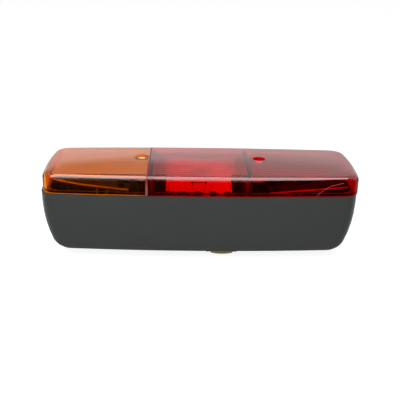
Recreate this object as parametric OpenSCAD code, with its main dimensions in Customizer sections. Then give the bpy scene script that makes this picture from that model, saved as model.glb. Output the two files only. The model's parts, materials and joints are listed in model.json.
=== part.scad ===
// Rear lamp cluster with three chambers: turn signal, stop and tail.
// +Z points out of the lens. X runs along the lamp. The back lies on Z = 0.

/* [Outline] */
// Length of the lamp over its rim
body_l = 240; // [225:1:260]
// Width of the lamp over its rim
body_w = 80; // [76:1:100]
// Height of the housing from its back to its rim
housing_h = 47; // [46:0.5:54]
// How far each end bows outwards
end_bow = 3; // [1:0.1:5]
// How far each long side bows outwards
side_bow = 4; // [2:0.1:5]
// Size of the corners seen from above
corner_r = 9; // [7:0.5:12]

/* [Housing] */
// Thickness of the housing wall
wall_t = 2.6; // [2:0.1:3]
// Thickness of the housing floor
floor_t = 3; // [2:0.1:4]
// How far the ends run in towards the back
end_draft = 9.3; // [6:0.1:12]
// How far the long sides run in towards the back
side_draft = 4.5; // [2:0.1:6]
// Radius between the ends and the back
end_edge_r = 7; // [4:0.5:9]
// Radius between the long sides and the back
side_edge_r = 3; // [1.5:0.5:4]
// Thickness of the outer lip round the lens
lip_t = 1.3; // [1:0.1:1.6]
// Height of that lip above the gasket's ledge
lip_h = 3; // [2.5:0.1:4]
// Width of the gasket's ledge
ledge_w = 4.2; // [3.8:0.1:5]
// Distance from the middle of the lamp to each light wall between the chambers
wall_x = 37.2; // [36:0.1:38]
// Thickness of the light walls
divider_t = 2.5; // [1.6:0.1:3]
// Gap between the light walls and the lens front
wall_gap = 0.4; // [0.3:0.1:1]

/* [Lens] */
// Height of the lens above the rim
lens_h = 15; // [13:0.5:18]
// Thickness of the lens wall
lens_t = 2; // [1.8:0.1:2.4]
// Thickness of the lens front
front_t = 2.3; // [2:0.1:3]
// Radius of the edge round the lens front
lens_edge_r = 4.2; // [3.6:0.1:5]
// How far the lens lies inside the outline
lens_inset = 0.3; // [0:0.1:0.6]
// How far the lens sits off centre in its rim
lens_shift = 0.9; // [0:0.1:1]
// Play of the lens tongue inside the lip
tongue_play = 1.3; // [1.1:0.1:1.5]
// Thickness of the lens tongue and foot
tongue_t = 2; // [1.5:0.1:2.2]
// Height of the foot above the rim
foot_h = 1.5; // [1:0.1:2.5]
// Gap between the lens and the top of the lip
rim_gap = 0.3; // [0.2:0.1:0.5]
// Place of the joint between the amber and the red lens
joint_x = -39.2; // [-40:0.1:-39]
// Thickness of each lens's welding rib at that joint
joint_t = 0.7; // [0.5:0.1:1.3]
// Height of the welding ribs inside the lens
weld_rib_h = 2.4; // [1.6:0.1:2.6]
// Pitch of the lengthwise flutes inside the lens front
flute_pitch = 4.2; // [3.5:0.1:6]
// Height of those flutes
flute_h = 0.7; // [0.4:0.1:1]

/* [Lens screws] */
// Place of the left lens screw along the lamp
screw_x_left = -45.6; // [-47:0.1:-44]
// Place of the left lens screw across the lamp
screw_y_left = 10.5; // [6:0.5:12]
// Place of the right lens screw along the lamp
screw_x_right = 47.1; // [46:0.1:49]
// Place of the right lens screw across the lamp
screw_y_right = 7; // [4:0.5:12]
// Diameter of the screw wells
well_d = 10; // [9.5:0.1:11]
// Depth of the left well to its seat
well_depth_left = 4.6; // [4:0.1:6]
// Depth of the right well to its seat
well_depth_right = 7.4; // [4:0.1:9]
// Thickness of the wall round a well
well_wall = 1.5; // [1.2:0.1:2]
// Diameter of the lens screw's thread
screw_d = 4; // [3.5:0.1:4.5]
// Diameter of the lens screw's head
screw_head_d = 8; // [7:0.1:8.6]
// Height of the lens screw's head
screw_head_h = 2.4; // [2:0.1:2.8]
// Length of the lens screws under the head
screw_l = 27; // [24:0.5:29]
// Thickness of the seal under each head
seal_t = 0.9; // [0.6:0.1:1.2]
// Diameter of the posts that take the screws
post_d = 9; // [8:0.5:10]

/* [Gasket] */
// Thickness of the pressed gasket
gasket_t = 1.5; // [1:0.1:2]
// Clear gap on each side of the gasket
gasket_gap = 0.3; // [0.2:0.1:0.5]

/* [Mounting] */
// Distance between the two mounting holes
mount_pitch = 120; // [114:1:124]
// Diameter of the mounting holes
mount_hole_d = 6.5; // [5.5:0.1:7]
// Diameter of the raised boss round each mounting hole
mount_boss_d = 14; // [12:0.5:15]
// Height of that boss above the floor
mount_boss_h = 1.5; // [1:0.5:3]
// Wall of the steel bush in each mounting hole
bush_t = 0.6; // [0.4:0.1:0.8]

/* [Bulbs] */
// Distance from the middle bulb to each outer bulb
bulb_pitch = 78; // [76:1:80]
// Place of the bulbs across the lamp
bulb_y = 8; // [7.5:0.5:9]
// Length of a bulb over all
bulb_l = 50; // [46:0.5:50]
// Diameter of the bulb's glass
bulb_d = 25; // [22:0.5:26]
// Diameter of the bulb's cap
cap_d = 15; // [14.5:0.1:15.2]
// Height of the bulb's cap
cap_h = 16; // [15:0.5:17]
// Clear room over the bulbs
bulb_room = 3; // [2:0.1:4]
// Wall of the glass and of the cap
bulb_wall = 0.6; // [0.5:0.1:0.8]
// Length of a bulb's coil
coil_l = 13; // [8:0.5:14]
// Thickness of that coil
coil_d = 1.6; // [0.8:0.1:2]
// How far the coil stands below the middle of the glass
coil_drop = 1.8; // [0:0.1:3]
// Wall of the bulb holder
holder_t = 0.8; // [0.6:0.1:1.2]
// Play of the cap in its holder
holder_play = 0.3; // [0.2:0.1:0.4]
// Diameter of the holder's foot
holder_foot_d = 20.6; // [19:0.1:20.6]

/* [Reflector and carriers] */
// Thickness of the sheet
sheet_t = 0.8; // [0.6:0.1:1]
// Length of the stop reflector
reflector_l = 53.5; // [48:0.5:58]
// Gap between a bulb's cap and the reflector's hole
cap_gap = 1.5; // [1:0.1:2]
// Front edge of the reflector
reflector_y0 = -8; // [-9:0.5:-6]
// How far the reflector's rear face runs back as it rises
reflector_run = 13; // [8:0.5:14]
// How far the reflector's rear edge lies below the rim
reflector_drop = 4; // [3:0.5:8]
// Clear gap round a bulb in the sheet
bulb_gap = 2.5; // [1.5:0.1:3]
// Front edge of both carriers
carrier_y0 = -20; // [-22:0.5:-18]
// Rear edge of both carriers
carrier_y1 = 27; // [26:0.5:28]
// Height of the lip folded down along a carrier
carrier_lip = 2.4; // [1.6:0.1:4]
// Diameter of the towers that carry the sheets
tower_d = 7; // [6:0.5:8]
// Diameter of the carrier screws
small_screw_d = 3; // [2.5:0.1:3.5]
// Diameter of the heads of the carrier screws
small_head_d = 5.6; // [4.6:0.1:6]
// Height of those heads
small_head_h = 1.8; // [1.4:0.1:2.2]
// Length of the carrier screws under the head
small_screw_l = 9; // [7:0.5:12]
// Diameter of the driver hole over a mounting hole
driver_hole_d = 14; // [12.5:0.5:15]

/* [Terminal block] */
// Number of poles
pole_count = 4; // [3:1:5]
// Distance between poles
pole_pitch = 11.5; // [9:0.5:12]
// Depth of the block across the lamp
block_w = 15; // [14:0.5:16]
// How far the block's top lies below the rim
block_drop = 6.4; // [5:0.1:10]
// Height of the walls between the poles
barrier_h = 0.8; // [0.5:0.1:3]
// Thickness of the walls between the poles
barrier_t = 3.6; // [1.5:0.1:4]
// Width of a pole's metal clamp
clamp_w = 5.4; // [4:0.1:6]
// Height of a pole's metal clamp
clamp_h = 4.4; // [3.5:0.1:5]
// Diameter of the clamp screws
clamp_screw_d = 2.2; // [2:0.1:2.6]
// Depth of the wire notches over the two right poles
notch_h = 1.2; // [0.4:0.1:2]
// Front face of the block
block_y0 = -27; // [-28:0.5:-26]

/* [Cable gland] */
// Place of the gland along the lamp
gland_x = 18; // [16:0.5:20]
// Diameter of the round gland nut
gland_nut_d = 40; // [34:0.5:42]
// Height of the gland nut
gland_nut_h = 5.4; // [3.5:0.1:7]
// Thickness of the gland's rubber washer
gland_washer_t = 1.2; // [1:0.1:2.5]
// Diameter of the gland's hollow stem
gland_stem_d = 18; // [17:0.5:18]
// Diameter of the cable's way through the gland
cable_d = 9; // [7:0.5:10]
// Play of the stem in its hole
stem_play = 0.4; // [0.3:0.1:0.6]

/* [Leads] */
// Diameter of the inner leads
lead_d = 2.4; // [1.8:0.1:2.6]

/* [Hidden] */

// Fineness of round shapes
$fn = 48;
// A small overlap that keeps joined shapes in one piece
eps = 0.05;
// Clear gap between parts that meet without being pressed together
seat_gap = 0.3;
// Steps along an end, a corner and a long side in one quarter of an outline
end_steps = 3;
corner_steps = 5;
side_steps = 5;

// Heights that follow from the sizes above
ledge_z = housing_h - lip_h;
lens_z = housing_h + rim_gap;
top_z = housing_h + lens_h;
inner_top_z = top_z - front_t;
tongue_z = ledge_z + gasket_t;
foot_z = lens_z + foot_h;
post_z = ledge_z;
pillar_z = post_z + seat_gap;
bulb_top_z = inner_top_z - flute_h - bulb_room;
bulb_z = bulb_top_z - bulb_l;
cap_top_z = bulb_z + cap_h;
reflector_z = cap_top_z + 0.5;
reflector_top_z = housing_h - reflector_drop;
block_z = housing_h - block_drop;
block_wall = 1.5;
clamp_play = 0.3;
clamp_z = block_z - 1.36 * clamp_h;
wire_z = clamp_z + clamp_h * 0.45;
wire_hole_d = clamp_w * 0.52;
bulb_xs = [-bulb_pitch, 0, bulb_pitch];
well_depths = [well_depth_left, well_depth_right];
screw_places = [[screw_x_left, screw_y_left], [screw_x_right, screw_y_right]];
block_l = pole_count * pole_pitch + barrier_t + 2.4;
block_x = -1;
gland_y = -5;

// Plain helpers

// One quarter of an outline, from the middle of an end to the middle of a long side
function quarter(hx, hy, r) =
    let (
        y0 = hy - side_bow - r,
        x0 = hx - end_bow * pow(y0 / hy, 2),
        x1 = hx - end_bow - r,
        y1 = hy - side_bow * pow(x1 / hx, 2),
        slope_end = 2 * end_bow * y0 / (hy * hy),
        slope_side = 2 * side_bow * x1 / (hx * hx),
        reach = 0.5523,
        c0 = [x0 - slope_end * (y1 - y0) * reach, y0 + (y1 - y0) * reach],
        c1 = [x1 + (x0 - x1) * reach, y1 - slope_side * (x0 - x1) * reach]
    )
    concat(
        [for (i = [0 : end_steps - 1]) let (y = y0 * i / end_steps) [hx - end_bow * pow(y / hy, 2), y]],
        [for (i = [0 : corner_steps - 1]) curve([x0, y0], c0, c1, [x1, y1], i / corner_steps)],
        [for (i = [0 : side_steps]) let (x = x1 * (1 - i / side_steps)) [x, hy - side_bow * pow(x / hx, 2)]]
    );

// A point on a cubic curve through a and d, pulled towards b and c
function curve(a, b, c, d, t) =
    pow(1 - t, 3) * a + 3 * pow(1 - t, 2) * t * b + 3 * (1 - t) * t * t * c + pow(t, 3) * d;

// A whole outline, counterclockwise, that lies ix in from the ends and iy in from the sides
function outline(ix, iy) =
    let (q = quarter(body_l / 2 - ix, body_w / 2 - iy, max(corner_r - 0.3 * (ix + iy) / 2, 3)), n = len(q))
    concat(
        q,
        [for (i = [n - 2 : -1 : 0]) [-q[i][0], q[i][1]]],
        [for (i = [1 : n - 1]) [-q[i][0], -q[i][1]]],
        [for (i = [n - 2 : -1 : 1]) [q[i][0], -q[i][1]]]
    );

// A closed solid through a list of rings, each [x inset, y inset, height]
module loft(levels, shift = 0) {
    rings = [for (v = levels) [for (p = outline(v[0], v[1])) [p[0] + shift, p[1], v[2]]]];
    n = len(rings[0]);
    m = len(rings);
    points = [for (r = rings) for (p = r) p];
    sides = [
        for (i = [0 : m - 2]) for (j = [0 : n - 1])
            let (a = i * n + j, b = i * n + (j + 1) % n, c = a + n, d = b + n)
            each [[a, c, b], [b, c, d]]
    ];
    first = [for (j = [0 : n - 1]) j];
    last = [for (j = [n - 1 : -1 : 0]) (m - 1) * n + j];
    polyhedron(points = points, faces = concat([first], sides, [last]), convexity = 6);
}

// How far the housing's wall has run in at a height, for the ends and for the sides
function edge_in(z, r) = z < r ? r - sqrt(r * r - pow(r - z, 2)) : 0;
function end_in(z) = end_draft * pow(1 - z / housing_h, 2.6) + edge_in(z, end_edge_r);
function side_in(z) = side_draft * pow(1 - z / housing_h, 1.6) + edge_in(z, side_edge_r);

// Heights of the housing's rings: close together at the back, then even steps
edge_heights = [for (a = [0, 30, 55, 75]) end_edge_r * (1 - cos(a))];
wall_steps = 5;
wall_heights = [for (i = [0 : wall_steps]) end_edge_r + (housing_h - end_edge_r) * i / wall_steps];

// A tube along a route
function unit(v) = v / norm(v);
function tube_dir(p, i) = unit(p[min(i + 1, len(p) - 1)] - p[max(i - 1, 0)]);
module tube(p, d, sides = 8) {
    n = len(p);
    up = [0.13, 0.21, 1];
    rings = [
        for (i = [0 : n - 1])
            let (t = tube_dir(p, i), u = unit(cross(t, up)), v = cross(t, u))
            [for (k = [0 : sides - 1]) p[i] + d / 2 * (cos(360 * k / sides) * u + sin(360 * k / sides) * v)]
    ];
    points = [for (r = rings) for (q = r) q];
    walls = [
        for (i = [0 : n - 2]) for (k = [0 : sides - 1])
            let (a = i * sides + k, b = i * sides + (k + 1) % sides, c = a + sides, e = b + sides)
            each [[a, c, b], [b, c, e]]
    ];
    first = [for (k = [0 : sides - 1]) k];
    last = [for (k = [sides - 1 : -1 : 0]) (n - 1) * sides + k];
    polyhedron(points = points, faces = concat([first], walls, [last]), convexity = 6);
}

// A smooth route through a short list of points
function route(p, steps = 4) = [
    for (i = [0 : len(p) - 2]) for (s = [0 : steps - 1])
        let (
            a = p[max(i - 1, 0)], b = p[i], c = p[i + 1], d = p[min(i + 2, len(p) - 1)],
            t = s / steps
        )
        0.5 * (2 * b + (c - a) * t + (2 * a - 5 * b + 4 * c - d) * t * t + (3 * b - a - 3 * c + d) * t * t * t),
    p[len(p) - 1]
];

// Housing

// Outer skin, lip, ledge and inner skin as one closed loft
module housing_shell() {
    outer = concat(
        [for (z = edge_heights) [end_in(z), side_in(z), z]],
        [for (z = wall_heights) [end_in(z), side_in(z), z]]
    );
    ledge_in = lip_t + ledge_w;
    rim = [
        [lip_t, lip_t, housing_h],
        [lip_t, lip_t, ledge_z],
        [ledge_in, ledge_in, ledge_z],
        [ledge_in, ledge_in, ledge_z - 2]
    ];
    inner_heights = [for (i = [0 : 3]) ledge_z - 6 - (ledge_z - 6 - end_edge_r) * i / 3];
    inner = [for (z = inner_heights) [end_in(z) + wall_t, side_in(z) + wall_t, z]];
    bottom = [
        for (a = [50, 20]) let (z = floor_t + (end_edge_r - floor_t) * (1 - cos(a)))
            [end_in(z) + wall_t, side_in(z) + wall_t, z],
        [end_in(floor_t) + wall_t + 2, side_in(floor_t) + wall_t + 1, floor_t]
    ];
    loft(concat(outer, rim, inner, bottom));
}

// A light wall across the housing, let halfway into its side walls below and standing free in the lens above
module light_wall(x, t) {
    hx = body_l / 2;
    heights = [floor_t - 1, side_edge_r + 2, housing_h * 0.35, housing_h * 0.65, ledge_z - seat_gap];
    upper_y = body_w / 2 - lip_t - ledge_w - seat_gap - side_bow * pow(x / hx, 2);
    wall_top = inner_top_z - wall_gap;
    upper = [[upper_y, ledge_z - seat_gap], [upper_y, wall_top - weld_rib_h], [upper_y - weld_rib_h, wall_top]];
    half = concat(
        [
            for (z = heights)
                let (iy = side_in(z) + wall_t / 2)
                [body_w / 2 - iy - side_bow * pow(x / (hx - end_in(z)), 2), z]
        ],
        upper
    );
    points = concat(half, [for (i = [len(half) - 1 : -1 : 0]) [-half[i][0], half[i][1]]]);
    translate([x - t / 2, 0, 0]) rotate([90, 0, 90]) linear_extrude(t) polygon(points);
}

// A tower from the floor up to a sheet whose upper face lies at z and leans by tilt
module tower(x, y, z, tilt) {
    difference() {
        translate([x, y, floor_t - 1]) cylinder(d = tower_d, h = z - floor_t + 4);
        translate([x, y, z - sheet_t]) rotate([0, tilt, 0]) translate([-tower_d, -tower_d, 0])
            cube([2 * tower_d, 2 * tower_d, 12]);
        translate([x, y, z]) rotate([0, tilt, 0]) translate([0, 0, -small_screw_l - 2])
            cylinder(d = small_screw_d - 0.6, h = small_screw_l + 4);
    }
}

module housing() {
    color([0.22, 0.235, 0.225]) difference() {
        union() {
            housing_shell();
            for (side = [-1, 1]) light_wall(side * wall_x, divider_t);
            for (p = screw_places) translate([p[0], p[1], floor_t - 1])
                cylinder(d = post_d, h = post_z - floor_t + 1);
            for (s = [-1, 1]) translate([s * mount_pitch / 2, 0, floor_t - 1])
                cylinder(d = mount_boss_d, h = mount_boss_h + 1);
            for (f = sheet_fixings) tower(f[0], f[1], f[2], f[3]);
            for (x = [-1, 1]) translate([block_x + x * (block_l / 2 - 1.4 * tower_d / 2), block_mid_y, floor_t - 1])
                cylinder(d = tower_d, h = block_foot_z - floor_t + 1);
        }
        for (p = screw_places) translate([p[0], p[1], post_z - 16]) cylinder(d = screw_d - 0.6, h = 17);
        for (side = [-1, 1]) for (v = [front_pass, rear_pass])
            translate([side * wall_x - 3, v[0], v[1]]) rotate([0, 90, 0]) cylinder(d = lead_d + 2, h = 6);
        for (s = [-1, 1]) translate([s * mount_pitch / 2, 0, -1]) cylinder(d = mount_hole_d, h = 12);
        translate([gland_x, gland_y, -1]) cylinder(d = gland_stem_d + 2 * stem_play, h = 8);
    }
}

// Gasket on its ledge

module lens_gasket() {
    out = lip_t + gasket_gap;
    in = lip_t + ledge_w - gasket_gap;
    color([0.08, 0.08, 0.08]) difference() {
        loft([[out, out, ledge_z], [out, out, ledge_z + gasket_t]]);
        loft([[in, in, ledge_z - 1], [in, in, ledge_z + gasket_t + 1]]);
    }
}

// Lens

// The whole lens shell: front, edge radius, wall, foot and tongue, as one closed loft
module lens_shell() {
    edge = [
        for (a = [90, 67.5, 45, 22.5, 0])
            let (i = lens_inset + lens_edge_r * (1 - cos(a)))
            [i, i, top_z - lens_edge_r * (1 - sin(a))]
    ];
    tongue_out = lip_t + tongue_play;
    tongue_in = tongue_out + tongue_t;
    inside = lens_inset + lens_t;
    inner_r = lens_edge_r - lens_t;
    foot = [
        [lens_inset, lens_inset, lens_z],
        [tongue_out, tongue_out, lens_z],
        [tongue_out, tongue_out, tongue_z],
        [tongue_in, tongue_in, tongue_z],
        [tongue_in, tongue_in, foot_z]
    ];
    inner_edge = [
        for (a = [0, 22.5, 45, 67.5, 90])
            let (i = inside + inner_r * (1 - cos(a)))
            [i, i, inner_top_z - inner_r * (1 - sin(a))]
    ];
    loft(reversed(concat(edge, foot, [[inside, inside, foot_z]], inner_edge)), lens_shift);
}

function reversed(v) = [for (i = [len(v) - 1 : -1 : 0]) v[i]];

// Half the clear width inside the lens at a place along it
function lens_half_w(x) =
    body_w / 2 - lens_inset - lens_t - side_bow * pow((x - lens_shift) / (body_l / 2), 2);

// Lengthwise flutes on the inner face of the lens front, from x0 to x1
module flutes(x0, x1) {
    half_w = min(lens_half_w(x0), lens_half_w(x1)) - 3;
    count = floor(2 * half_w / flute_pitch);
    profile = concat(
        [[-count * flute_pitch / 2, 0.5]],
        [
            for (i = [0 : count - 1]) for (k = [0 : 3])
                let (u = k / 4, y = (i + u - count / 2) * flute_pitch)
                [y, -flute_h * 4 * u * (1 - u) - eps]
        ],
        [[count * flute_pitch / 2, -eps], [count * flute_pitch / 2, 0.5]]
    );
    translate([x0, 0, inner_top_z]) rotate([90, 0, 90]) linear_extrude(x1 - x0) polygon(profile);
}

// A low welding rib round the inside of the lens, between x0 and x1
module weld_rib(x0, x1) {
    out_y = lens_half_w(x0) + 0.6;
    out_z = inner_top_z + 0.6;
    in_y = lens_half_w(x0) - weld_rib_h;
    in_z = inner_top_z - flute_h;
    translate([x0, 0, 0]) rotate([90, 0, 90]) linear_extrude(x1 - x0) difference() {
        polygon(arch(out_y, foot_z - 0.4, out_z));
        polygon(arch(in_y, foot_z - 1, in_z));
    }
}

// Outline of an arch with cut corners, half_y to each side, from z0 to z1
function arch(half_y, z0, z1) =
    [[-half_y, z0], [half_y, z0], [half_y, z1 - 2], [half_y - 2, z1], [2 - half_y, z1], [-half_y, z1 - 2]];

// The pillar round a screw well, down to the post in the housing
module well_pillar(i) {
    translate([screw_places[i][0], screw_places[i][1], pillar_z])
        cylinder(d = well_d + 2 * well_wall, h = top_z - front_t / 2 - pillar_z);
}

// The well and the screw's way through its pillar
module well_bore(i) {
    translate([screw_places[i][0], screw_places[i][1], 0]) {
        translate([0, 0, top_z - well_depths[i]]) cylinder(d = well_d, h = well_depths[i] + 1);
        translate([0, 0, pillar_z - 1]) cylinder(d = screw_d + 0.6, h = top_z - pillar_z);
    }
}

module lens_amber() {
    x_end = -body_l / 2 + lens_shift + lens_t + lens_edge_r + end_bow;
    color([0.85, 0.42, 0.1]) difference() {
        union() {
            intersection() {
                union() {
                    lens_shell();
                    well_pillar(0);
                }
                translate([-body_l, -body_w, 0]) cube([body_l + joint_x, 2 * body_w, 2 * top_z]);
            }
            weld_rib(joint_x - joint_t, joint_x);
            flutes(x_end, joint_x - joint_t + eps);
        }
        well_bore(0);
    }
}

module lens_red() {
    x_end = body_l / 2 + lens_shift - lens_t - lens_edge_r - end_bow;
    color([0.7, 0.07, 0.06]) difference() {
        union() {
            intersection() {
                lens_shell();
                translate([joint_x, -body_w, 0]) cube([body_l, 2 * body_w, 2 * top_z]);
            }
            weld_rib(joint_x, joint_x + joint_t);
            flutes(divider_t / 2 + wall_gap - wall_x, wall_x - divider_t / 2 - wall_gap);
            flutes(wall_x + divider_t / 2 + wall_gap, x_end);
            well_pillar(1);
        }
        well_bore(1);
    }
}

// Lens screws and their seals

module lens_screws() {
    color([0.83, 0.68, 0.38]) for (i = [0, 1])
        translate([screw_places[i][0], screw_places[i][1], top_z - well_depths[i] + seal_t])
            pan_screw(screw_d - 0.6, screw_l, screw_head_d, screw_head_h);
}

// A pan head screw whose head sits on its own origin and whose shank runs down
module pan_screw(d, l, head_d, head_h) {
    difference() {
        union() {
            translate([0, 0, -l]) cylinder(d = d, h = l + eps);
            rotate_extrude() polygon([
                [0, 0], [head_d / 2, 0], [head_d / 2, head_h * 0.45], [head_d * 0.42, head_h * 0.8],
                [head_d * 0.28, head_h], [0, head_h]
            ]);
        }
        for (a = [0, 90]) rotate([0, 0, a + 20])
            translate([-head_d * 0.28, -head_d * 0.07, head_h * 0.45])
                cube([head_d * 0.56, head_d * 0.14, head_h]);
    }
}

module screw_seals() {
    color([0.1, 0.1, 0.1]) for (i = [0, 1])
        translate([screw_places[i][0], screw_places[i][1], top_z - well_depths[i]]) difference() {
            cylinder(d = screw_head_d + 0.6, h = seal_t);
            translate([0, 0, -1]) cylinder(d = screw_d + 0.2, h = seal_t + 2);
        }
}

// Steel bushes in the mounting holes

module mounting_bushes() {
    color([0.8, 0.8, 0.82]) for (s = [-1, 1]) translate([s * mount_pitch / 2, 0, 0]) difference() {
        union() {
            cylinder(d = mount_hole_d, h = floor_t + mount_boss_h);
            translate([0, 0, floor_t + mount_boss_h]) cylinder(d = mount_hole_d + 4, h = bush_t);
        }
        translate([0, 0, -1]) cylinder(d = mount_hole_d - 2 * bush_t, h = floor_t + mount_boss_h + 4);
    }
}

// Sheet parts: the stop reflector and the two carriers

// Bent lines of the carriers, seen from the front: [x, height of the upper face]
turn_line = [
    [8 - body_l / 2, housing_h + 6.6], [-bulb_pitch - 14, housing_h + 2.6], [6 - mount_pitch / 2, housing_h - 1.9]
];
tail_line = [
    [mount_pitch / 2 - 6, housing_h - 3.6], [body_l / 2 - 6, housing_h + 2]
];
function slope(a, b) = -atan((b[1] - a[1]) / (b[0] - a[0]));
function on_line(a, b, x) = a[1] + (b[1] - a[1]) * (x - a[0]) / (b[0] - a[0]);
reflector_rear_y = bulb_y + bulb_d / 2 + bulb_gap + 8;
reflector_y1 = reflector_rear_y - reflector_run;
block_mid_y = block_y0 + block_w / 2;
block_foot_z = block_z - 11;
function fixing(a, b, x, y) = [x, y, on_line(a, b, x), slope(a, b)];
// Where the sheets are screwed down: [x, y, height of the sheet's upper face, tilt]
sheet_fixings = [
    fixing(turn_line[0], turn_line[1], -bulb_pitch - 25, bulb_y),
    fixing(turn_line[1], turn_line[2], -mount_pitch / 2, carrier_y0 + 6),
    fixing(tail_line[0], tail_line[1], bulb_pitch + 18, carrier_y0 + 7),
    fixing(tail_line[0], tail_line[1], mount_pitch / 2, carrier_y0 + 6),
    [-reflector_l / 2 + 5, bulb_y + 6, reflector_z, 0],
    [reflector_l / 2 - 5, bulb_y + 6, reflector_z, 0]
];

// A bent sheet that follows a line along the lamp, with its front lip
module bent_sheet(line, y0, y1, t, lip) {
    low = [for (i = [len(line) - 1 : -1 : 0]) [line[i][0], line[i][1] - t]];
    lip_low = [for (i = [len(line) - 1 : -1 : 0]) [line[i][0], line[i][1] - lip]];
    translate([0, y1, 0]) rotate([90, 0, 0]) linear_extrude(y1 - y0) polygon(concat(line, low));
    translate([0, y0 + t, 0]) rotate([90, 0, 0]) linear_extrude(t) polygon(concat(line, lip_low));
}

module fixing_holes() {
    for (f = sheet_fixings) translate([f[0], f[1], f[2]]) rotate([0, f[3], 0]) translate([0, 0, -4])
        cylinder(d = small_screw_d + 0.4, h = 8);
}

module carrier_turn() {
    color([0.3, 0.3, 0.3]) difference() {
        bent_sheet(turn_line, carrier_y0, carrier_y1, sheet_t, carrier_lip);
        translate([-bulb_pitch, bulb_y, 0]) cylinder(d = bulb_d + 2 * bulb_gap, h = 2 * top_z);
        translate([-mount_pitch / 2, 0, 0]) cylinder(d = driver_hole_d, h = 2 * top_z);
        translate([screw_x_left, screw_y_left, 0]) cylinder(d = well_d + 2 * well_wall + 4, h = 2 * top_z);
        fixing_holes();
    }
}

module carrier_tail() {
    color([0.3, 0.3, 0.3]) difference() {
        bent_sheet(tail_line, carrier_y0, carrier_y1, sheet_t, carrier_lip);
        translate([bulb_pitch, bulb_y, 0]) cylinder(d = bulb_d + 2 * bulb_gap, h = 2 * top_z);
        translate([mount_pitch / 2, 0, 0]) cylinder(d = driver_hole_d, h = 2 * top_z);
        translate([screw_x_right, screw_y_right, 0]) cylinder(d = well_d + 2 * well_wall + 4, h = 2 * top_z);
        fixing_holes();
    }
}

module reflector_stop() {
    lean = atan((reflector_top_z - reflector_z) / (reflector_rear_y - reflector_y1));
    bend_y = reflector_y1 + sheet_t * tan(lean / 2);
    back_y = reflector_rear_y + sheet_t / sin(lean);
    bent = [
        [reflector_y0, reflector_z - sheet_t], [reflector_y0, reflector_z], [reflector_y1, reflector_z],
        [reflector_rear_y, reflector_top_z], [back_y, reflector_top_z], [bend_y, reflector_z - sheet_t]
    ];
    cheek = [
        [reflector_y0, reflector_z - sheet_t], [reflector_y0, reflector_z + 2],
        [reflector_y1 - 8, reflector_z + 12], [reflector_rear_y, reflector_top_z],
        [back_y, reflector_top_z], [bend_y, reflector_z - sheet_t]
    ];
    color([0.9, 0.9, 0.92]) difference() {
        union() {
            translate([-reflector_l / 2, 0, 0]) rotate([90, 0, 90]) linear_extrude(reflector_l) polygon(bent);
            for (x = [-reflector_l / 2, reflector_l / 2 - sheet_t]) translate([x, 0, 0])
                rotate([90, 0, 90]) linear_extrude(sheet_t) polygon(cheek);
        }
        translate([0, bulb_y, 0]) cylinder(d = cap_d + 2 * cap_gap, h = 2 * top_z);
        fixing_holes();
    }
}

module carrier_screws() {
    color([0.75, 0.75, 0.76]) for (f = sheet_fixings)
        translate([f[0], f[1], f[2]]) rotate([0, f[3], 0]) pan_screw(small_screw_d * 0.8, small_screw_l, small_head_d, small_head_h);
}

// Bulb holders, their insulators and contacts

holder_in_d = cap_d + 2 * holder_play;
holder_z = floor_t;

module bulb_holder(i) {
    color([0.78, 0.76, 0.7]) translate([bulb_xs[i], bulb_y, 0]) difference() {
        union() {
            translate([0, 0, holder_z]) cylinder(d = holder_foot_d, h = holder_t);
            translate([0, 0, holder_z]) cylinder(d = holder_in_d + 2 * holder_t, h = cap_top_z - 1.5 - holder_z);
        }
        translate([0, 0, holder_z + holder_t]) cylinder(d = holder_in_d, h = cap_h * 2);
        for (a = [0, 180]) rotate([0, 0, a]) {
            translate([cap_d / 4, -1.3, cap_top_z - 8.3]) cube([cap_d / 2, 2.6, 12]);
            translate([cap_d / 4, -1.3, cap_top_z - 8.3]) cube([cap_d / 2, 6, 2.6]);
        }
    }
}

insulator_z = holder_z + holder_t;
insulator_t = bulb_z - 1.2 - insulator_z;

module holder_insulator(i) {
    color([0.35, 0.22, 0.12]) translate([bulb_xs[i], bulb_y, insulator_z]) difference() {
        cylinder(d = cap_d - 0.6, h = insulator_t);
        translate([0, 0, -1]) cylinder(d = 4.2, h = insulator_t + 2);
    }
}

module holder_contact(i) {
    color([0.85, 0.68, 0.35]) translate([bulb_xs[i], bulb_y, insulator_z]) {
        cylinder(d = 4.2, h = insulator_t + eps);
        translate([0, 0, insulator_t]) cylinder(d = 6, h = 0.7);
    }
}

// Bulbs

module bulb_cap(i) {
    color([0.86, 0.7, 0.38]) translate([bulb_xs[i], bulb_y, bulb_z]) {
        rotate_extrude() polygon([
            [0, -0.5], [1.6, -0.5], [2, 0], [cap_d * 0.3, 0.3], [cap_d / 2 - 0.4, 1.4], [cap_d / 2, 2],
            [cap_d / 2, cap_h], [cap_d / 2 - bulb_wall, cap_h], [cap_d / 2 - bulb_wall, 2.6], [0, 2]
        ]);
        for (a = [0, 180]) rotate([0, 0, a]) translate([cap_d / 2 - bulb_wall, 0, cap_h - 7])
            rotate([0, 90, 0]) cylinder(d = 2, h = bulb_wall + 0.9);
    }
}

// Half the glass in section: neck in the cap, then a round head
function glass_line(r, neck_r, z0, z1, shrink) =
    let (
        head_z = z1 - r,
        ball = [for (a = [-40 : 13 : 90]) [(r - shrink) * cos(a), head_z + (r - shrink) * sin(a)]]
    )
    concat([[neck_r - shrink, z0 + shrink], [neck_r - shrink, cap_top_z + 0.8]], ball);

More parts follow.
